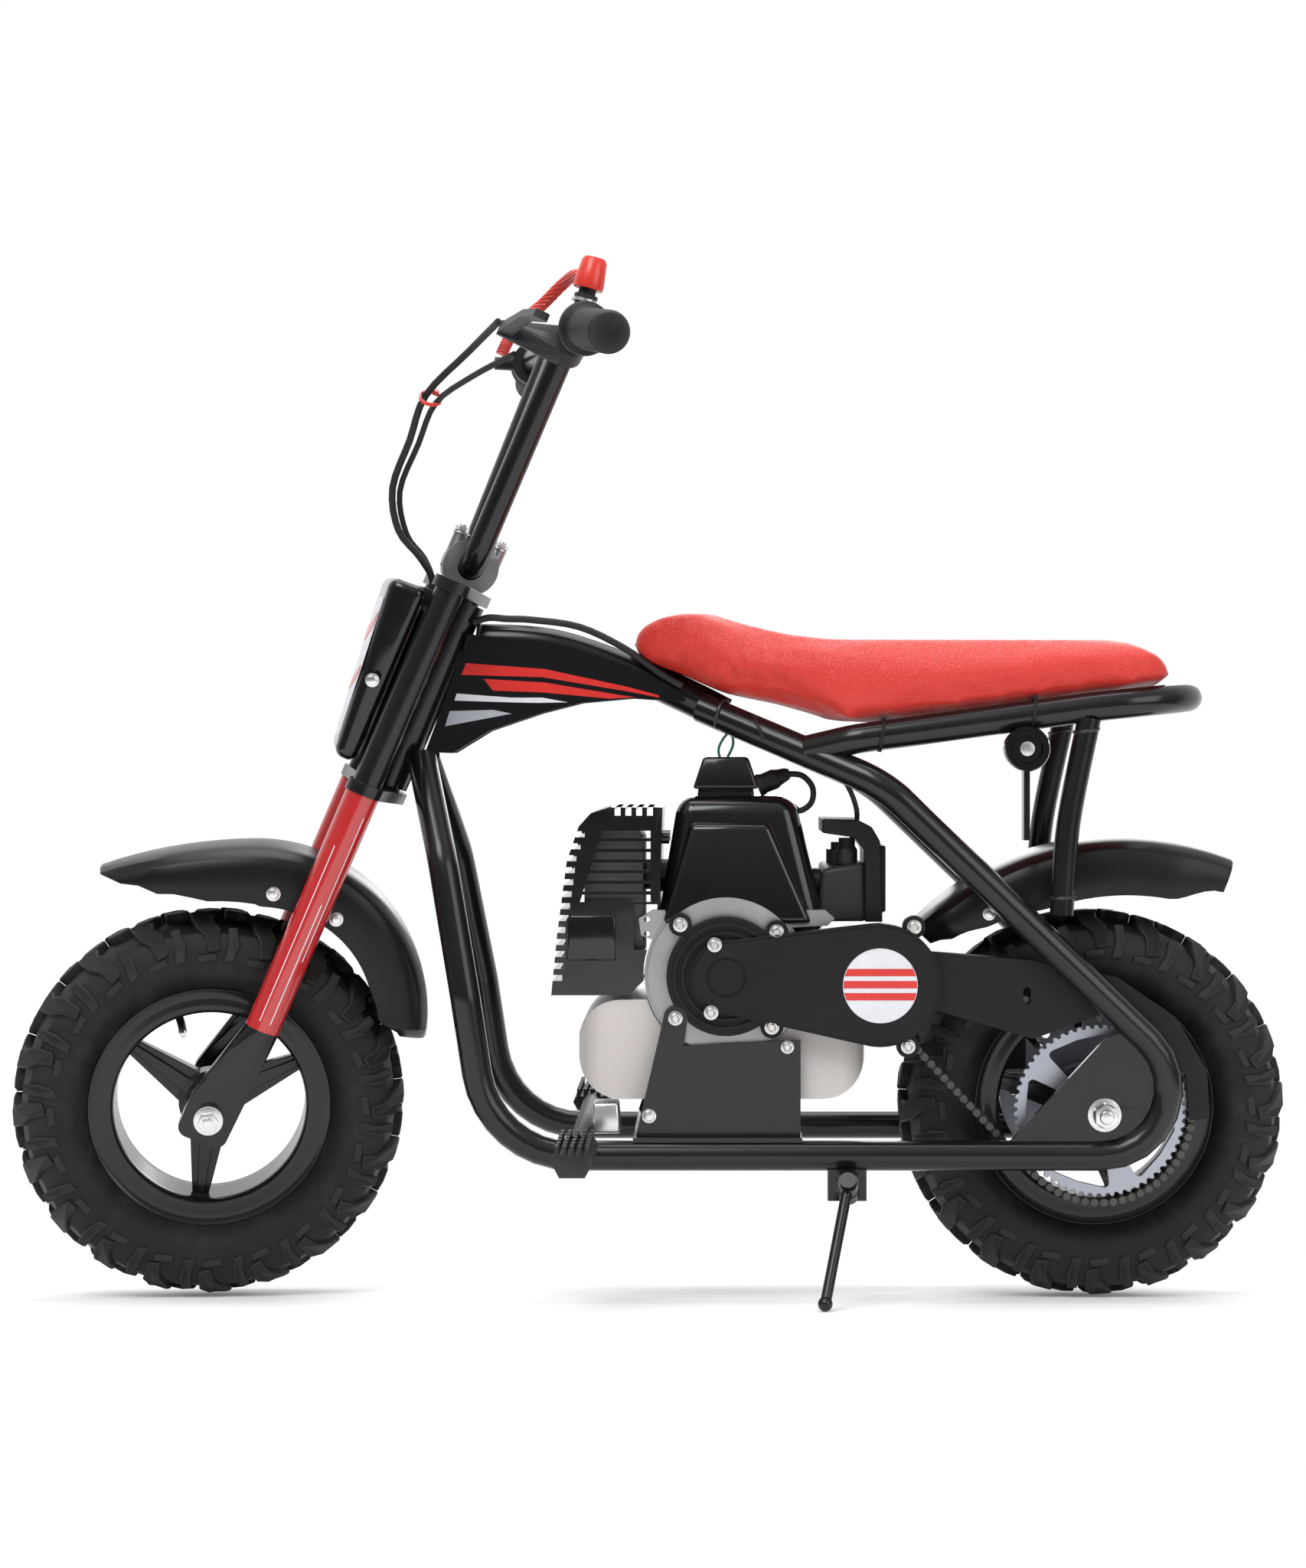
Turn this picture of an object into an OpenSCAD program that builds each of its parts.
// Petrol minibike with a tubular cradle frame, leaning on its side stand.
// The bike is drawn upright, x forward, y to its left, z up from the ground,
// with x = 0 halfway between the axles, and park() leans the whole of it.

/* [Wheels] */
// Distance between the two axles
wheelbase = 756; // [740:1:776]
// Diameter over the tyre's lugs
tyre_d = 330; // [320:1:336]
// Width over the tyre's lugs
tyre_w = 104; // [98:1:106]
// Height of a lug above the carcass
lug_h = 8; // [5:0.5:10]
// Lugs round one shoulder of a tyre
lug_count = 20; // [18:1:22]
// Outer diameter of the rim's lip
rim_lip_d = 203; // [196:1:206]
// Opening inside the rim that the spokes cross
rim_open_d = 161; // [150:1:168]
// Diameter of a wheel's hub
hub_d = 44; // [40:1:50]
// Diameter of the wheel axles
axle_d = 12; // [10:0.5:14]

/* [Steering] */
// Angle of the steering axis behind the vertical
rake = 23.2; // [21:0.1:25]
// Distance of the front axle in front of the steering axis
fork_offset = 32; // [28:1:36]
// Steering angle at rest, to the left
steer_rest = 10; // [0:1:12]
// Sideways distance of a fork leg from the middle
fork_half = 72; // [70:1:76]
// Diameter of the fork's inner tube
fork_tube_d = 25; // [22:0.5:26]
// Diameter of the coloured fork sleeve
sleeve_d = 29; // [28:0.5:32]
// Distance of the lower clamp above the axle, along the fork
lower_clamp_at = 302; // [296:1:308]
// Distance of the upper clamp above the axle, along the fork
upper_clamp_at = 486; // [482:1:492]
// Outer diameter of the head tube
head_d = 36; // [34:1:40]
// Diameter of the handlebar tube
bar_d = 22; // [20:0.5:24]

/* [Frame] */
// Diameter of the cradle's tubes
tube_d = 25; // [22:0.5:26]
// Diameter of the backbone tube
backbone_d = 30; // [28:0.5:34]
// Sideways distance of the cradle's tubes from the middle
frame_half = 90; // [88:1:92]
// Height of the bottom tubes above the ground
bottom_z = 131; // [128:1:136]
// Bend radius at the front of the cradle
front_bend = 80; // [60:1:90]
// Bend radius at the back of the cradle, around the axle
rear_bend = 56; // [50:1:60]
// Diameter of the posts that carry the seat
post_d = 20; // [18:0.5:22]
// Half width of the seat's loop
loop_half = 80; // [74:1:84]

/* [Engine] */
// Radius of the aluminium gear housing
housing_r = 68; // [66:1:70]
// Height of the crankshaft above the ground
crank_z = 279; // [276:1:282]
// Outer face of the gear cover, from the middle
cover_y = 96; // [94:0.5:99]

/* [Drive] */
// Pitch of the roller chain
chain_pitch = 8; // [7.8:0.1:8.2]
// Teeth on the rear sprocket
rear_teeth = 60; // [58:1:62]
// Teeth on the front sprocket
front_teeth = 11; // [10:1:12]
// Distance of the chain's plane from the middle
chain_y = 66; // [65:0.5:67]

/* [Side stand] */
// Lean of the parked bike to its left
lean = 7; // [5:0.5:9]
// Length of the stand's leg
stand_len = 105.4; // [101:0.2:110]
// Diameter of the stand's leg
stand_d = 9; // [8:0.5:11]

/* [Seat] */
// Width of the seat
seat_w = 180; // [160:1:190]

/* [Hidden] */
$fn = 48;
fit = 0.05;
axle_z = tyre_d / 2;
front_x = wheelbase / 2;
rear_x = -wheelbase / 2;
steer_fwd = [cos(rake), 0, sin(rake)];
// A turned front wheel sits lower, so its axle is drawn this much above the rear one
front_rise = 1.6;
steer_foot = [front_x, 0, axle_z + front_rise] - fork_offset * steer_fwd;
tube_r = tube_d / 2;
post_r = post_d / 2;
bar_r = bar_d / 2;
crank_x = -65;
drive_x = -192.5;
drive_z = 272;
// Place of the parked bike, so that its box stands centred on the ground
park_at = [-0.3, -100.1, 2.08];

function unit(v) = v / norm(v);
function mirror_y(p, s) = [p[0], s * p[1], p[2]];
function on_side(pts, s) = [for (p = pts) mirror_y(p, s)];

// The parked bike: leaned to its left and set on the ground
module park() {
  translate(park_at) rotate([-lean, 0, 0]) children();
}

// What turns with the steering: x ahead of its axis, z up along it from the axle's level
module steered() {
  translate(steer_foot) rotate([0, -rake, 0]) rotate([0, 0, steer_rest]) children();
}

// Round bar from one point to another
module rod(a, b, r) {
  d = b - a;
  h = norm(d);
  translate(a) rotate([0, acos(d[2] / h), atan2(d[1], d[0])]) cylinder(h = h, r = r);
}

// Length that a bend of radius bend takes from the straights at corner b
function bend_cut(a, b, c, bend) = bend * tan(acos(unit(b - a) * unit(c - b)) / 2);

// Points along the bend at corner b
function elbow(a, b, c, bend, steps) =
  let (u = unit(b - a), v = unit(c - b), turn = acos(u * v), side = unit(v - (u * v) * u),
    mid = b - u * bend_cut(a, b, c, bend) + side * bend)
  [for (k = [0:steps]) mid + bend * (sin(turn * k / steps) * u - cos(turn * k / steps) * side)];

// Centre line of a bent tube: its corners in pts, the radius of each bend in bends
function bent(pts, bends, steps = 5) = concat([pts[0]],
  [for (i = [1:len(pts) - 2]) each elbow(pts[i - 1], pts[i], pts[i + 1], bends[i - 1], steps)],
  [pts[len(pts) - 1]]);

// Direction of a line of points at point i
function heading(p, i) = unit(p[min(i + 1, len(p) - 1)] - p[max(i - 1, 0)]);

// Direction and sideways vector at each point, with no twist between them
function frames(p) = [
  for (i = 0, u = heading(p, 0), s = unit(cross(u, abs(u[1]) > 0.8 ? [0, 0, 1] : [0, 1, 0]));
    i < len(p);
    i = i + 1, u = heading(p, min(i, len(p) - 1)), s = unit(s - (s * u) * u)) [u, s]];

// Round tube along a line of points, as one closed solid
module sweep(p, r, sides) {
  n = len(p);
  turns = frames(p);
  rings = [for (i = [0:n - 1], k = [0:sides - 1])
    p[i] + r * (cos(360 * k / sides) * turns[i][1]
    + sin(360 * k / sides) * cross(turns[i][0], turns[i][1]))];
  walls = [for (i = [0:n - 2], k = [0:sides - 1])
    [i * sides + k, (i + 1) * sides + k,
     (i + 1) * sides + (k + 1) % sides, i * sides + (k + 1) % sides]];
  start = [for (k = [0:sides - 1]) k];
  end = [for (k = [0:sides - 1]) n * sides - 1 - k];
  polyhedron(points = rings, faces = concat([start], walls, [end]));
}

// Bent frame tube
module tube(pts, r, bends, sides = 16) { sweep(bent(pts, bends), r, sides); }

// Flat plate in the side view, from y0 to y1
module side_plate(y0, y1) {
  translate([0, y1, 0]) rotate([90, 0, 0]) linear_extrude(y1 - y0) children();
}

// Round bar across the bike at x, z
module cross_bar(x, z, r, y0, y1) {
  translate([x, y1, z]) rotate([90, 0, 0]) cylinder(h = y1 - y0, r = r);
}

// Smooth route through hand-picked points
function route_point(p, i, t) =
  let (n = len(p), a = p[max(i - 1, 0)], b = p[i], c = p[i + 1], d = p[min(i + 2, n - 1)])
  0.5 * (2 * b + t * (c - a) + t * t * (2 * a - 5 * b + 4 * c - d)
  + t * t * t * (3 * b - a - 3 * c + d));
function route(p, steps) = concat(
  [for (i = [0:len(p) - 2], k = [0:steps - 1]) route_point(p, i, k / steps)], [p[len(p) - 1]]);

// Cord along a smooth route
module cord(points, r, steps = 3) { sweep(route(points, steps), r, 8); }

// Cradle: head, front bend, bottom run, bend round the axle and slanted tube
head_joint = [195, 17, 460];
slant_deg = 44;
slant_top = [-196, frame_half, 438];
slant_end = [-44, 24, 503];
rear_corner = [slant_top[0] - (slant_top[2] - bottom_z) / tan(slant_deg), frame_half, bottom_z];
cradle = [
  head_joint, [172, 72, 376], [151, frame_half, 262], [131, frame_half, bottom_z],
  rear_corner, slant_top, slant_end
];
cradle_bends = [60, 60, front_bend, rear_bend, 90];
steel_black = [0.06, 0.06, 0.07];
plastic_black = [0.08, 0.08, 0.09];
accent_red = [0.85, 0.16, 0.13];
zinc = [0.75, 0.75, 0.78];
cast_grey = [0.62, 0.62, 0.64];

module frame_side(s) {
  color(steel_black) tube(on_side(cradle, s), tube_r, cradle_bends);
}
module frame_left() { frame_side(1); }
module frame_right() { frame_side(-1); }

// Place on the head tube's axis, for what doesn't turn with the steering
module head_frame() { translate(steer_foot) rotate([0, -rake, 0]) children(); }
stem_r = 12.5;
clamp_t = 10;
head_play = 2;
head_from = lower_clamp_at + clamp_t / 2 + head_play;
head_to = upper_clamp_at - clamp_t / 2 - head_play;

module head_tube() {
  color(steel_black) head_frame() difference() {
    translate([0, 0, head_from]) cylinder(h = head_to - head_from, r = head_d / 2);
    translate([0, 0, head_from - 1]) cylinder(h = head_to - head_from + 2, r = stem_r + fit);
  }
}

// Backbone from the head tube to where the slanted tubes meet under the seat
backbone_line = [[149, 0, 561], [85, 0, 557], [20, 0, 536], [-30, 0, 514], [-64, 0, 497]];
module backbone() {
  color(steel_black) sweep(route(backbone_line, 3), backbone_d / 2, 16);
}

gusset_y = 15;
gusset_t = 3;
gusset_outline = [
  [160, 552], [192, 465], [168, 464], [137, 483], [93, 498], [58, 507], [14, 511],
  [-30, 508], [-30, 516], [20, 538], [85, 558], [156, 566]
];
module gusset_plates() {
  color(accent_red) for (s = [-1, 1])
    translate([0, s * (gusset_y + gusset_t / 2), 0])
      side_plate(-gusset_t / 2, gusset_t / 2) polygon(gusset_outline);
}

// Loop that carries the seat, open at the front where it meets the slanted tubes
loop_front = [-160, loop_half, 474];
loop_side = [-372, loop_half, 503];
loop_rear = [-484, loop_half, 514];
module seat_loop() {
  right = [for (p = [loop_rear, loop_side, loop_front]) mirror_y(p, -1)];
  color(steel_black) tube(concat([loop_front, loop_side, loop_rear], right), tube_r, [200, 68, 68, 200]);
}

post_line = [[-367, loop_half + 2, 493], [-349, frame_half - 4, 405], [-343, frame_half, 330]];
module seat_posts() {
  color(steel_black) for (s = [-1, 1]) {
    sweep(route(on_side(post_line, s), 3), post_r, 14);
    rod([-345, s * (fender_half - 1), 362], [-345, s * 84, 362], 5);
  }
}

axle_plate_t = 5;
axle_plate_outline = [
  [rear_x + 88, bottom_z], [rear_x + 74, bottom_z + 16], [rear_x, axle_z + 62],
  [rear_x - 20, axle_z + 71], [rear_x - 47, axle_z + 40], [rear_x - 52, axle_z + 5],
  [rear_x - 27, bottom_z + 4], [rear_x, bottom_z]
];
module axle_plates() {
  color(steel_black) for (s = [-1, 1]) translate([0, s * frame_half, 0]) difference() {
    side_plate(-axle_plate_t / 2, axle_plate_t / 2) polygon(axle_plate_outline);
    cross_bar(rear_x, axle_z, axle_d / 2 + fit, -10, 10);
  }
  color(zinc) {
    cross_bar(rear_x, axle_z, axle_d / 2, -frame_half - 18, frame_half + 18);
    for (s = [-1, 1]) translate([0, s * (frame_half + axle_plate_t / 2 + 5), 0])
      cross_bar(rear_x, axle_z, 10, -5, 5);
  }
}

// Engine cradle: tray across the bottom tubes, side plates and the stand's bracket
tray_from = -128;
tray_to = 12;
tray_t = 3;
mount_y = frame_half - 9;
mount_t = 3;
mount_outline = [[-30, 221], [-127, 226], [-127, 146], [10, 146], [-13, 244], [-33, 244]];
mount_bolt = [-23, 244];
mount_far_outline = [[12, 146], [-128, 146], [-128, 214], [-10, 214]];
stand_pivot = [-165, frame_half + 22, bottom_z - 21];
stand_dir = unit([0.2, 0.55, -0.8]);
stand_folded = unit([-1, 0, 0.1]);
stand_axis = unit(cross(stand_dir, stand_folded));
eye_half = 6;
eye_r = 8.5;
pin_r = 4;
module engine_mount() {
  tray_z = bottom_z + tube_r;
  color(steel_black) {
    translate([tray_from, -frame_half - 6, tray_z - 1])
      cube([tray_to - tray_from, 2 * frame_half + 12, tray_t + 1]);
    side_plate(mount_y - mount_t / 2, mount_y + mount_t / 2) polygon(mount_outline);
    cross_bar(mount_bolt[0], mount_bolt[1], 10, cover_y - arm_t - 1, mount_y + mount_t / 2);
    side_plate(-mount_y - mount_t / 2, -mount_y + mount_t / 2) polygon(mount_far_outline);
    translate([stand_pivot[0] - 16, frame_half - 7, bottom_z - tube_r - 24]) cube([32, 14, 26]);
    rod(stand_pivot - 18 * stand_axis, stand_pivot - (eye_half + 0.5) * stand_axis, 9);
    rod(stand_pivot - 18 * stand_axis, stand_pivot + (eye_half + 0.5) * stand_axis, pin_r);
    rod(stand_pivot + (eye_half + 0.5) * stand_axis, stand_pivot + (eye_half + 4) * stand_axis, 7);
  }
}

peg_x = 56;
peg_z = 146;
peg_end = frame_half + 128;
peg_section = [[-17, 0], [-10, -13], [10, -13], [17, 0], [14, 5], [-14, 5]];
module foot_pegs() {
  color(plastic_black) {
    cross_bar(peg_x, peg_z, 8, -frame_half - 40, frame_half + 40);
    for (s = [-1, 1]) translate([peg_x, s * (peg_end - 45), peg_z]) {
      side_plate(-45, 45) polygon(peg_section);
      for (x = [-12:6:12]) for (y = [-40:16:40])
        translate([x - 1.5, y - 5, 4]) cube([3, 10, 8]);
    }
  }
}

module engine() {
  color(cast_grey) {
    cross_bar(crank_x, crank_z, 54, -58, 42);
    translate([crank_x - 38, -42, crank_z]) cube([76, 84, shroud_z - crank_z]);
  }
}

// Aluminium housing: a ring with a groove, two front ears and a flange behind
module clutch_housing() {
  color(cast_grey) {
    cross_bar(crank_x, crank_z, housing_r, 42, cover_y - arm_t - 5);
    cross_bar(crank_x, crank_z, housing_r - 3, 42, cover_y - arm_t);
    side_plate(60, 70) difference() {
      polygon([[-20, 302], [6, 312], [8, 326], [-4, 333], [-14, 333]]);
      for (z = [313, 325]) translate([1, z]) circle(r = 2.5);
    }
    side_plate(50, 70) polygon([[-112, 318], [-112, 333], [-148, 333], [-156, 326], [-150, 320]]);
  }
}

disc_case_r = 49.5;
arm_r = 30;
arm_end_r = 51;
arm_t = 18;
boss_r = 16.5;
emblem_r = 31.7;
case_ears = [[-27, 322], [-107, 316], [-221, 320], [-103, 237], [-216, 221]];
ear_r = 9.5;
module gear_case() {
  foot = cover_y - arm_t;
  color(plastic_black) {
    side_plate(foot, cover_y - 9) difference() {
      union() {
        translate([crank_x, crank_z]) circle(r = disc_case_r);
        for (p = case_ears) translate(p) circle(r = ear_r);
      }
      translate(mount_bolt) circle(r = 10.5);
    }
    for (r = [disc_case_r - 5, disc_case_r - 12]) side_plate(foot + 1, cover_y - 6) difference() {
      translate([crank_x, crank_z]) circle(r = r);
      translate([crank_x, crank_z]) circle(r = r - 3);
      translate(mount_bolt) circle(r = 10.5);
    }
    arm_layer(foot, cover_y - 3, 0);
    difference() {
      arm_layer(cover_y - 4, cover_y, 3);
      side_plate(cover_y - 1.5, cover_y + 1) difference() {
        translate([crank_x, crank_z]) circle(r = boss_r);
        translate([crank_x, crank_z]) circle(r = boss_r - 2);
      }
      side_plate(cover_y - 1.5, cover_y + 1) translate([drive_x, drive_z]) circle(r = emblem_r);
    }
  }
}

// Arm from the clutch to the chain, drawn in by some millimetres
module arm_layer(y0, y1, inset) {
  side_plate(y0, y1) hull() {
    translate([crank_x, crank_z]) circle(r = arm_r - inset);
    translate([drive_x, drive_z]) circle(r = arm_end_r - inset);
  }
}

shroud_z = 334;
shroud_outline = [
  [-11, shroud_z], [-18, 400], [-28, 419], [-40, 427], [-108, 428], [-120, 419], [-136, 374],
  [-145, shroud_z]
];
shroud_face = [[-23, shroud_z], [-36, 404], [-101, 404], [-124, shroud_z]];
cap_outline = [[-38, 436], [-45, 460], [-84, 460], [-92, 436]];
module shroud() {
  color(plastic_black) {
    difference() {
      hull() {
        side_plate(-58, 62) polygon(shroud_outline);
        side_plate(62, 76) polygon(shroud_face);
      }
      cross_bar(crank_x, crank_z, housing_r + 1, 41, 100);
    }
    translate([-88, 2, 420]) cube([46, 40, 17]);
    side_plate(-6, 50) polygon(cap_outline);
  }
}

module plug_lead() {
  color(plastic_black) {
    rod([-98, 24, 424], [-118, 24, 448], 9);
    cord([[-116, 24, 446], [-134, 26, 442], [-142, 28, 428], [-134, 28, 414], [-124, 28, 408]], 3.5);
  }
}

guard_outline = [
  [-8, 266], [2, 276], [16, 262], [81, 262], [76, 313], [68, 374], [58, 403], [48, 414], [33, 419],
  [-12, 419]
];
guard_y = [-50, 72];
guard_wall = 2.5;
// Front edge of the guard: height, place
guard_front = [[262, 81], [313, 76], [374, 68], [403, 58]];
louvre_pitch = 8.9;
module muffler_guard() {
  color(plastic_black) {
    difference() {
      side_plate(guard_y[0], guard_y[1]) polygon(guard_outline);
      side_plate(guard_y[0] - 1, guard_y[1] - guard_wall) offset(delta = -guard_wall) polygon(guard_outline);
      cross_bar(crank_x, crank_z, housing_r + 1, 40, 100);
      translate([-13, 55, 300]) cube([25, 20, 38]);
      rod([-30, 6, 360], [0, 6, 360], 15);
      for (i = [0:6]) translate([0, guard_y[1] - 5, 340 + louvre_pitch * i]) rotate([-90, 0, 0])
        linear_extrude(10) mirror([0, 1])
          polygon([[-2, 0], [57 - 2.7 * i, 0], [55 - 2.7 * i, 6], [-2, 6]]);
      for (i = [0:12]) let (z = 274 + 10 * i)
        translate([lookup(z, guard_front) - 8, guard_y[0] + 12, z]) cube([14, 120, 5]);
      for (i = [0:3]) translate([23 - 9 * i, guard_y[0] + 12, 412]) cube([5, 120, 12]);
    }
    side_plate(guard_y[1] - 1, guard_y[1] + 1.5) difference() {
      rounded(26, 69, 290, 330, 8);
      rounded(28.5, 66.5, 292.5, 327.5, 6);
    }
    for (y = [-30, 30]) rod([-17, y, 392], [-9, y, 392], 5);
  }
}

module muffler() {
  color(cast_grey) {
    side_plate(-38, 56) rounded(4, 54, 284, 402, 12);
    rod([-17, 6, 360], [6, 6, 360], 13);
    rod([30, -37, 300], [30, -60, 292], 8);
  }
}

tank_x = [-182, 59];
tank_z = [175, 258];
tank_half = 68;
tank_round = 26;
module rounded(x0, x1, y0, y1, r) {
  translate([x0 + r, y0 + r]) offset(r = r, $fn = 32) square([x1 - x0 - 2 * r, y1 - y0 - 2 * r]);
}
module fuel_tank() {
  color([0.9, 0.9, 0.88]) difference() {
    intersection() {
      side_plate(-tank_half, tank_half) rounded(tank_x[0], tank_x[1], tank_z[0], tank_z[1], 36);
      translate([0, 0, 100]) linear_extrude(200)
        rounded(tank_x[0], tank_x[1], -tank_half, tank_half, tank_round);
    }
    cross_bar(crank_x, crank_z, housing_r + 1, -100, 100);
  }
}

air_cover = [
  [-146, 409], [-176, 408], [-188, 402], [-195, 390], [-197, 322], [-182, 322], [-182, 382], [-174, 393],
  [-146, 397]
];
module air_box() {
  color(plastic_black) {
    side_plate(-24, 54) polygon(air_cover);
    translate([-200, -18, 330]) cube([5, 66, 56]);
  }
}

module carburettor() {
  color([0.2, 0.2, 0.21]) {
    rod([-139, 16, 354], [-183, 16, 354], 12);
    translate([-172, 0, 340]) cube([24, 32, 28]);
    translate([-160, 16, 322]) cylinder(h = 24, r = 11);
    translate([-160, 16, 358]) cylinder(h = 24, r = 9);
    translate([-160, 16, 376]) cylinder(h = 12, r = 5);
  }
}

module recoil_starter() {
  color(plastic_black) {
    difference() {
      union() {
        cross_bar(crank_x, crank_z, 60, -84, -58);
        cross_bar(crank_x, crank_z, 48, -92, -84);
      }
      for (i = [0:15]) translate([crank_x, 0, crank_z]) rotate([0, 22.5 * i, 0])
        translate([26, -93, -2.5]) cube([16, 6, 5]);
    }
    translate([crank_x + 34, -82, crank_z + 44]) cube([14, 12, 20]);
    translate([crank_x + 24, -85, crank_z + 62]) cube([34, 18, 11]);
  }
}

function pitch_r(teeth) = chain_pitch / 2 / sin(180 / teeth);
chain_t = 9;
link_h = 7.4;
// Chain: a band round both sprockets with a bulge at each pin
module chain() {
  big = pitch_r(rear_teeth);
  small = pitch_r(front_teeth);
  span = norm([drive_x - rear_x, drive_z - axle_z]);
  run_dir = atan2(drive_z - axle_z, drive_x - rear_x);
  spread = acos((big - small) / span);
  run = sqrt(span * span - (big - small) * (big - small));
  big_wrap = (360 - 2 * spread) * PI / 180 * big;
  small_wrap = 2 * spread * PI / 180 * small;
  total = big_wrap + small_wrap + 2 * run;
  half_links = 2 * floor(total / chain_pitch + 0.5);
  function arm(a, r) = [r * cos(a), r * sin(a)];
  function low_from(r) = arm(run_dir - spread, r);
  // Point of the band at length d along it, grown outwards by g
  function along(d, g) =
    d < small_wrap ? [drive_x, drive_z] + arm(run_dir - spread + d / small * 180 / PI, small + g)
    : d < small_wrap + run ? [drive_x, drive_z] + arm(run_dir + spread, small + g)
      - (d - small_wrap) * arm(run_dir + spread - 90, 1)
    : d < small_wrap + run + big_wrap ? [rear_x, axle_z]
      + arm(run_dir + spread + (d - small_wrap - run) / big * 180 / PI, big + g)
    : [rear_x, axle_z] + low_from(big + g)
      + (d - small_wrap - run - big_wrap) * arm(run_dir - spread + 90, 1);
  function outline(s) = [for (i = [0:half_links - 1])
    along(total * i / half_links, s * (i % 2 == 0 ? link_h / 2 : link_h / 2 - 1))];
  color([0.25, 0.24, 0.23]) {
    side_plate(chain_y - chain_t / 2, chain_y + chain_t / 2) difference() {
      polygon(outline(1));
      polygon(outline(-1));
    }
    cross_bar(drive_x, drive_z, small - link_h / 2 + 1.5, chain_y - 2, cover_y - arm_t);
  }
}

chain_guard_t = 2.5;
chain_guard_y = 74;
chain_guard_from = 60;
chain_guard_outline = [
  [-210, 300], [-318, 292], [-392, 277], [-440, 244], [-466, 200], [-468, 160], [-452, 158],
  [-448, 196], [-424, 232], [-380, 247], [-321, 226], [-212, 258]
];
module chain_guard() {
  color(plastic_black) {
    side_plate(chain_guard_y, chain_guard_y + chain_guard_t) difference() {
      polygon(chain_guard_outline);
      translate([-316, 262]) rounded(-3, 3, -7, 7, 2.5);
    }
    side_plate(chain_guard_from, chain_guard_y + 1) difference() {
      polygon(chain_guard_outline);
      offset(delta = -chain_guard_t) polygon(chain_guard_outline);
      translate([-452, 150]) square([300, 122]);
      translate([-216, 200]) square([20, 120]);
      translate([-480, 150]) square([40, 40]);
    }
    cross_bar(-384, 258, 8, chain_guard_y, frame_half - tube_r + 1);
  }
}

// Arched section of a fender, radius outwards, about the middle plane
fender_t = 3;
module fender_section(radius, half, depth) {
  difference() {
    polygon([
      [radius, half * 0.5], [radius - 12, half], [radius - depth, half], [radius - depth, -half],
      [radius - 12, -half], [radius, -half * 0.5]
    ]);
    polygon([
      [radius - fender_t, half * 0.5 - 1], [radius - 13, half - fender_t],
      [radius - depth - 1, half - fender_t], [radius - depth - 1, fender_t - half],
      [radius - 13, fender_t - half], [radius - fender_t, 1 - half * 0.5]
    ]);
  }
}

// Bent sheet from angle a0 to a1, measured in the side view from straight ahead
module fender_arc(x, z, radius, half, depth, a0, a1) {
  translate([x, 0, z]) rotate([90, 0, 0]) rotate([0, 0, a0])
    rotate_extrude(angle = a1 - a0) fender_section(radius, half, depth);
}

// Rear fender: its centre from the axle, and how far it stands off the tyre
rear_fender_at = [-25, -21.5];
rear_fender_off = 84;
fender_gap = 8;
fender_half = 56;
module rear_fender() {
  color(plastic_black) difference() {
    fender_arc(rear_x + rear_fender_at[0], axle_z + rear_fender_at[1], axle_z + rear_fender_off,
      fender_half, 48, 44, 112);
    cross_bar(rear_x, axle_z, axle_z + fender_gap, -80, 80);
  }
}

seat_outline = [
  [16, 560], [8, 548], [-28, 536], [-64, 520], [-110, 511], [-150, 500], [-165, 491], [-288, 506],
  [-372, 519], [-443, 526], [-429, 544], [-405, 555.5], [-156, 556], [-115, 561], [-75, 571],
  [-38, 585], [-14, 583], [6, 575]
];
// Seat across the bike: flat sides, with its top edges drawn in behind and its nose left high
seat_section = [
  [-90, 470], [-90, 536], [-86, 547], [-76, 554], [-60, 558], [-42, 592], [42, 592], [60, 558],
  [76, 554], [86, 547], [90, 536], [90, 470]
];
module seat() {
  color(accent_red) intersection() {
    side_plate(-seat_w / 2, seat_w / 2) polygon(seat_outline);
    translate([0, 0, 400]) linear_extrude(300) hull() {
      translate([-22, 0]) circle(r = 40);
      for (s = [-1, 1]) {
        translate([-160, s * (seat_w / 2 - 40)]) circle(r = 40);
        translate([-404, s * (seat_w / 2 - 40)]) circle(r = 40);
      }
    }
    translate([-500, 0, 0]) rotate([90, 0, 90]) linear_extrude(600) polygon(seat_section);
  }
}

disc_y = -66;
disc_r = 70;
disc_t = 3;
// Caliper's arm, from the axle to the axle plate
caliper_arm = [[18, 5], [78, 20], [84, 47], [52, 47]];
module brake_caliper() {
  color(plastic_black) difference() {
    translate([rear_x + 48, disc_y - 14, axle_z + 20]) cube([40, 28, 30]);
    cross_bar(rear_x, axle_z, disc_r + 5, disc_y - disc_t / 2 - 2, disc_y + disc_t / 2 + 2);
  }
  color(steel_black) side_plate(axle_plate_t / 2 - frame_half, disc_y - 14)
    translate([rear_x, axle_z]) polygon(caliper_arm);
}

module hook() {
  color(steel_black) {
    cross_bar(-314, 468, 17, 66, 94);
    translate([-317, 72, 392]) cube([5, 16, 62]);
  }
}

module frame_cables() {
  color(plastic_black) cord([
    [122, 15, 579], [100, 17, 578], [60, 18, 572], [22, 19, 554], [-8, 20, 533], [-28, 22, 521]
  ], 3);
}

// Fork and bars, drawn in the steering's own frame
module fork_clamps() {
  color(steel_black) steered() {
    for (z = [lower_clamp_at, upper_clamp_at]) translate([0, 0, z - clamp_t / 2])
      linear_extrude(clamp_t) difference() {
        for (s = [-1, 1]) hull() {
          circle(r = 20);
          translate([leg_x, s * fork_half]) circle(r = 16);
        }
        for (s = [-1, 1]) translate([leg_x, s * fork_half]) circle(r = fork_tube_d / 2);
      }
    translate([0, 0, lower_clamp_at - clamp_t / 2])
      cylinder(h = upper_clamp_at - lower_clamp_at + clamp_t, r = stem_r);
  }
}

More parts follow.
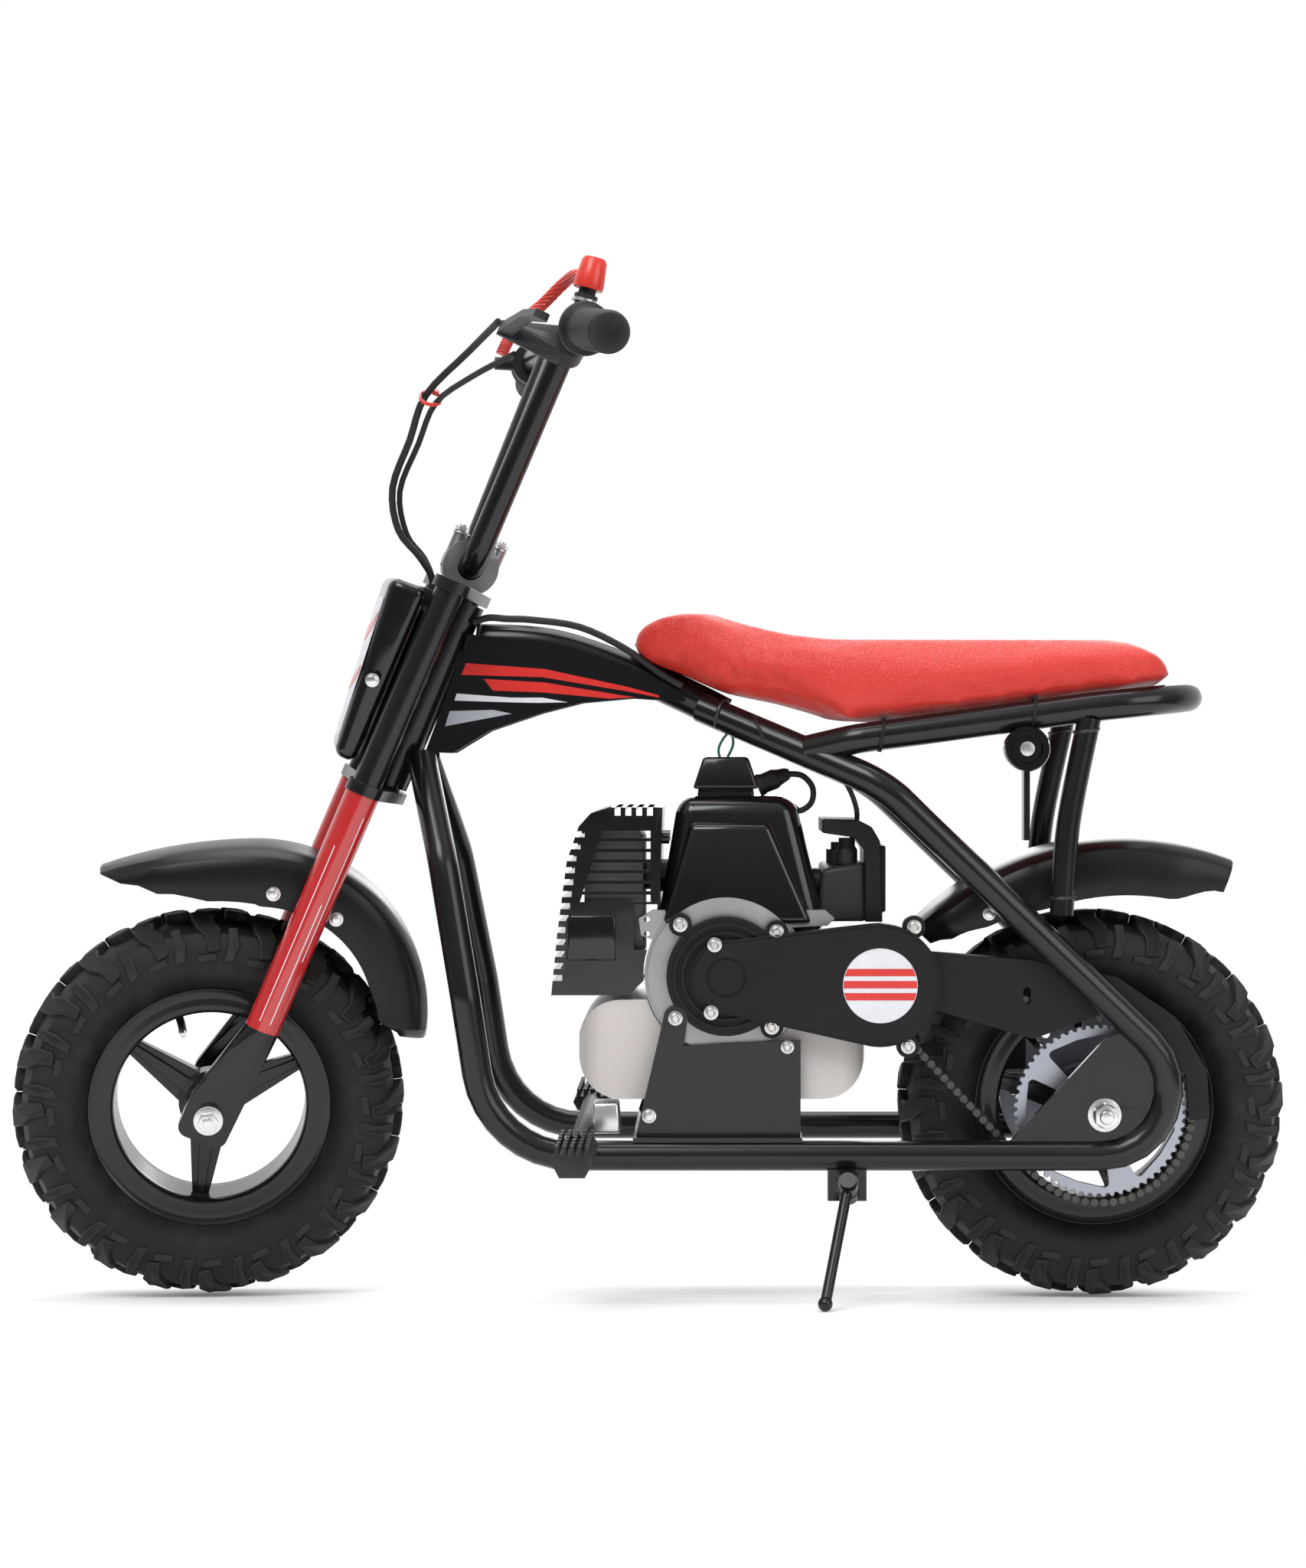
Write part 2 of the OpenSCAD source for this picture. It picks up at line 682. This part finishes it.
leg_x = 20;
lug_top = 84;
sleeve_top = lower_clamp_at - clamp_t / 2;
module fork_tubes() {
  color(steel_black) steered() for (s = [-1, 1]) translate([leg_x, s * fork_half, 0]) difference() {
    union() {
      translate([0, 0, lug_top - 6]) cylinder(h = upper_clamp_at - lug_top + 6, r = fork_tube_d / 2);
      hull() {
        translate([0, 0, lug_top - 2]) cylinder(h = 2, r = sleeve_d / 2);
        translate([fork_offset - leg_x, 0, 0]) side_plate(-9, 9) rounded(-21, 21, -21, 21, 9);
      }
    }
    cross_bar(fork_offset - leg_x, 0, axle_d / 2, -20, 20);
  }
}

module fork_sleeves() {
  color(accent_red) steered() for (s = [-1, 1]) translate([leg_x, s * fork_half, lug_top]) difference() {
    cylinder(h = sleeve_top - lug_top, r = sleeve_d / 2);
    translate([0, 0, -1]) cylinder(h = sleeve_top - lug_top + 2, r = fork_tube_d / 2);
  }
}

module front_axle() {
  color(zinc) steered() {
    cross_bar(fork_offset, 0, axle_d / 2, -fork_half - 20, fork_half + 20);
    for (s = [-1, 1]) translate([0, s * (fork_half + 15), 0]) cross_bar(fork_offset, 0, 12, -4, 4);
  }
}

front_fender_half = 54;
module front_fender() {
  color(plastic_black) steered() {
    difference() {
      union() {
        fender_arc(26.5, 86, axle_z - 19, front_fender_half, 50, 66.8, 166);
        fender_arc(-87.8, -180.5, axle_z + 271, front_fender_half, 50, 49.5, 67);
      }
      cross_bar(fork_offset, 0, axle_z + fender_gap, -80, 80);
    }
    for (s = [-1, 1]) translate([leg_x, s * (fork_half - sleeve_d / 2 - 2), 205])
      cube([16, 7, 24], center = true);
  }
}

// Handlebar's corners on the left, in the steering frame
bar_low = [8, 30, 508];
bar_mid = [bar_low[0], 0, bar_low[2]];
bar_high = [17, 174, 713];
bar_end = [2, 304, 704];
bar_bends = [24, 30];
grip_dir = unit(bar_end - bar_high);
function on_grip(d) = bar_end - d * grip_dir;
clamp_r = 24;
clamp_half = 17;
clamp_top = upper_clamp_at + clamp_t / 2;

module bar_clamp() {
  color(cast_grey) steered() difference() {
    union() {
      translate([bar_mid[0], 0, bar_mid[2]]) cross_bar(0, 0, clamp_r, -clamp_half, clamp_half);
      translate([bar_mid[0] - 17, -clamp_half, clamp_top]) cube([34, 2 * clamp_half, 10]);
      for (x = [-1, 1]) translate([bar_mid[0] + x * 18, 0, bar_mid[2] - 8]) cylinder(h = 34, r = 6);
    }
    cross_bar(bar_mid[0], bar_mid[2], bar_r, -60, 60);
    translate([-40, -40, clamp_top - 40]) cube([100, 80, 40]);
  }
}

module handlebar() {
  left = [bar_low, bar_high, bar_end];
  right = [for (i = [2:-1:0]) mirror_y(left[i], -1)];
  bends = [bar_bends[1], bar_bends[0], bar_bends[0], bar_bends[1]];
  color(steel_black) steered() tube(concat(right, left), bar_r, bends);
}

grip_len = 95;
grip_r = 16.5;
module on_left(s) { mirror([0, s < 0 ? 1 : 0, 0]) children(); }
module grips() {
  color(plastic_black) steered() for (s = [-1, 1]) on_left(s) difference() {
    union() {
      rod(on_grip(grip_len), on_grip(-3), grip_r);
      rod(on_grip(grip_len), on_grip(grip_len - 4), grip_r + 5);
    }
    rod(on_grip(grip_len + 5), on_grip(0), bar_r);
  }
}

module throttle() {
  color(plastic_black) steered() on_left(-1) difference() {
    union() {
      rod(on_grip(grip_len + 17), on_grip(grip_len + 1), 20);
      rod(on_grip(grip_len + 9) + [8, 0, -4], on_grip(grip_len + 9) + [34, 0, -14], 6);
    }
    rod(on_grip(grip_len + 30), on_grip(grip_len - 5), bar_r + 0.1);
  }
}

// Lever with the perch that clamps it to the bar
module brake_lever() {
  color([0.16, 0.16, 0.17]) steered() for (s = [-1, 1]) on_left(s) {
    if (s > 0) {
      difference() {
        hull() {
          translate([16, 163, 697]) rotate([-54, 0, 0]) cylinder(h = 16, r = 15, center = true);
          translate([66, 156, 690]) cylinder(h = 12, r = 6, center = true);
        }
        rod([13, 110, 626], bar_high + [0.4, 7, 9], bar_r);
      }
      hull() {
        translate([66, 158, 690]) cylinder(h = 8, r = 6, center = true);
        translate([58, 222, 700]) cylinder(h = 6, r = 5, center = true);
      }
      hull() {
        translate([58, 222, 700]) cylinder(h = 6, r = 5, center = true);
        translate([52, 290, 696]) cylinder(h = 6, r = 6, center = true);
      }
    }
  }
}

switch_at = [25, 188, 755];
module kill_switch() {
  color(accent_red) steered() {
    rod(switch_at - [3, 0, 12], switch_at + [3, 0, 13], 11);
  }
  color(plastic_black) steered() rod(switch_at - [8, 0, 36], switch_at - [2, 0, 11], 8);
}

lanyard_line = [
  [26, 180, 752], [33, 160, 752], [38, 138, 744], [45, 124, 726],
  [53, 122, 709], [59, 121, 690], [60, 122, 674]
];
module lanyard() { color(accent_red) steered() cord(lanyard_line, 5); }

// Number plate: a shallow housing across the front of the fork
plate_top = 478;
plate_bottom = 316;
clamp_low = upper_clamp_at - clamp_t / 2;
module number_plate() {
  color(plastic_black) steered() {
    hull() {
      translate([36, -60, plate_bottom + 8]) cube([22, 120, 1]);
      translate([37, -78, plate_top - 8]) cube([32, 156, 1]);
      translate([38, -70, plate_top]) cube([22, 140, 1]);
      translate([37, -48, plate_bottom]) cube([14, 96, 1]);
    }
    for (s = [-1, 1]) translate([22, s * 40 - 7, plate_top - 8]) cube([20, 14, clamp_low - plate_top + 8.5]);
  }
}

front_cable = [
  [74, 152, 694], [84, 87, 669], [101, 43, 625], [98, 23, 586], [95, 4, 544], [76, -3, 513],
  [50, -3, 499], [32, -3, 484], [30, -3, 458]
];
switch_cable = [
  [52, 150, 676], [74, 100, 650], [91, 47, 622], [90, 20, 586], [88, -2, 544], [68, -10, 513],
  [46, -10, 500], [32, -10, 484], [31, -10, 458]
];
module bar_cables() {
  color(plastic_black) steered() {
    cord(front_cable, 3);
    cord(switch_cable, 2.5);
    rod([88, 47, 621], [104, 43, 626], 4.5);
  }
}

bead_r = rim_lip_d / 2 - 10;
bead_half = 28;
flange_h = 8;
crown = tyre_d / 2;
tyre_half = tyre_w / 2;
// Half of the tyre's section: radius, half width, how far a lug stands out there in radius and in
// width, and how many degrees the lug leans round the tyre
tyre_section = [
  [bead_r + 0.3, bead_half - 0.7, 0, 0, 0],
  [bead_r + flange_h + 1, bead_half + 2.7, 0, 0, 0],
  [bead_r + 20, tyre_half - 6, 0, 0, 0],
  [crown - 38, tyre_half - 3, 0, 3, 6],
  [crown - 16, tyre_half - 4, 5, 4, 5],
  [crown - lug_h - 2, tyre_half - 21, lug_h, 4, 2]
];
// Where along its pitch a lug starts to rise, is up, starts to fall and is down
lug_edges = [0.03, 0.14, 0.5, 0.61];
module tyre() {
  half = len(tyre_section);
  row = 2 * half + 1;
  steps = 4 * lug_count;
  function at(r, y, a) = [r * cos(a), y, r * sin(a)];
  function side_point(p, s, up, a) = at(p[0] + up * p[2], s * (p[1] + up * p[3]), a + p[4]);
  function ring(i) =
    let (k = i % 4, a = 360 / lug_count * (floor(i / 4) + lug_edges[k]), up = (k == 1 || k == 2) ? 1 : 0)
    concat(
      [for (p = tyre_section) side_point(p, -1, 1 - up, a)],
      [at(crown, 0, a)],
      [for (m = [half - 1:-1:0]) side_point(tyre_section[m], 1, up, a)]);
  color([0.09, 0.09, 0.09]) polyhedron(
    points = [for (i = [0:steps - 1]) each ring(i)],
    faces = [for (i = [0:steps - 1], k = [0:row - 1])
      let (next = (i + 1) % steps, beside = (k + 1) % row, a = i * row + k, b = i * row + beside,
        c = next * row + beside, d = next * row + k)
      each [[a, c, b], [a, d, c]]]);
}

hub_half = 36;
spoke_angle = 13.4;
spoke_hub = 15;
spoke_rim = 9;
spoke_t = 12;
valve_angle = 47;
module rim() {
  well = rim_open_d / 2;
  color(steel_black) rotate([90, 0, 0]) {
    rotate_extrude($fn = 72) polygon([
      [well, -bead_half - 5], [bead_r + flange_h, -bead_half - 5], [bead_r + flange_h, -bead_half - 3],
      [bead_r, -bead_half], [bead_r, bead_half], [bead_r + flange_h, bead_half + 3],
      [bead_r + flange_h, bead_half + 5], [well, bead_half + 5], [well + 3, 20], [well + 3, -20]
    ]);
    difference() {
      union() {
        cylinder(h = 2 * hub_half, r = hub_d / 2, center = true);
        for (i = [0:2]) rotate([0, 0, spoke_angle + 120 * i]) translate([0, 0, -spoke_t / 2])
          linear_extrude(spoke_t)
            polygon([[0, -spoke_hub], [well + 7, -spoke_rim], [well + 7, spoke_rim], [0, spoke_hub]]);
      }
      cylinder(h = 80, r = axle_d / 2 + fit, center = true);
    }
    rotate([0, 0, valve_angle]) rod([well + 6, 0, -8], [well - 9, 0, -12], 4);
    rotate([0, 0, valve_angle]) rod([well - 8, 0, -11], [well - 16, 0, -26], 3);
  }
}

// Turn of each wheel that sets one of its lugs on the ground
front_roll = 5.3;
rear_roll = 10.2;
module at_front_wheel() { steered() translate([fork_offset, 0, 0]) children(); }
module at_rear_wheel() { translate([rear_x, 0, axle_z]) children(); }
module front_tyre() { at_front_wheel() rotate([0, -front_roll, 0]) tyre(); }
module front_rim() { at_front_wheel() rim(); }
module rear_tyre() { at_rear_wheel() rotate([0, -rear_roll, 0]) tyre(); }
module rear_rim() { at_rear_wheel() rim(); }

module rear_sprocket() {
  root = pitch_r(rear_teeth) - link_h / 2 - 3.5;
  tip = root + 2.8;
  step = 360 / rear_teeth;
  color([0.57, 0.59, 0.65]) at_rear_wheel() {
    side_plate(chain_y - 2, chain_y + 2) difference() {
      polygon([for (i = [0:rear_teeth - 1], t = [[0, root], [0.3, root], [0.45, tip], [0.75, tip]])
        t[1] * [cos(step * (i + t[0])), sin(step * (i + t[0]))]]);
      circle(r = axle_d / 2 + fit);
      for (i = [0:4]) rotate(72 * i) offset(r = 4, $fn = 16)
        polygon([[36, -13], [56, -22], [58, 0], [56, 22], [36, 13]]);
    }
    difference() {
      cross_bar(0, 0, 26, 36, chain_y - 1.9);
      cross_bar(0, 0, axle_d / 2 + fit, 0, 100);
    }
  }
}

module brake_disc() {
  color([0.57, 0.59, 0.65]) at_rear_wheel() difference() {
    union() {
      cross_bar(0, 0, disc_r, disc_y - disc_t / 2, disc_y + disc_t / 2);
      cross_bar(0, 0, 26, disc_y, -36);
    }
    cross_bar(0, 0, axle_d / 2 + fit, -100, 0);
    for (i = [0:11]) rotate([0, 30 * i, 0]) cross_bar(disc_r - 12, 0, 4, disc_y - 5, disc_y + 5);
  }
}

foot_r = 6;
module stand_leg() {
  color(steel_black) difference() {
    union() {
      rod(stand_pivot - eye_half * stand_axis, stand_pivot + eye_half * stand_axis, eye_r);
      rod(stand_pivot + 6 * stand_dir, stand_pivot + stand_len * stand_dir, stand_d / 2);
      translate(stand_pivot + stand_len * stand_dir) sphere(r = foot_r);
    }
    rod(stand_pivot - 20 * stand_axis, stand_pivot + 20 * stand_axis, pin_r + fit);
  }
}

park() frame_left();
park() frame_right();
park() backbone();
park() head_tube();
park() gusset_plates();
park() seat_loop();
park() seat_posts();
park() axle_plates();
park() engine_mount();
park() foot_pegs();
park() engine();
park() clutch_housing();
park() gear_case();
park() shroud();
park() plug_lead();
park() muffler_guard();
park() muffler();
park() fuel_tank();
park() air_box();
park() carburettor();
park() recoil_starter();
park() chain();
park() chain_guard();
park() rear_fender();
park() seat();
park() brake_caliper();
park() hook();
park() frame_cables();
park() fork_clamps();
park() fork_tubes();
park() fork_sleeves();
park() front_axle();
park() front_fender();
park() bar_clamp();
park() handlebar();
park() grips();
park() throttle();
park() brake_lever();
park() kill_switch();
park() lanyard();
park() number_plate();
park() bar_cables();
park() front_tyre();
park() front_rim();
park() rear_tyre();
park() rear_rim();
park() rear_sprocket();
park() brake_disc();
park() stand_leg();
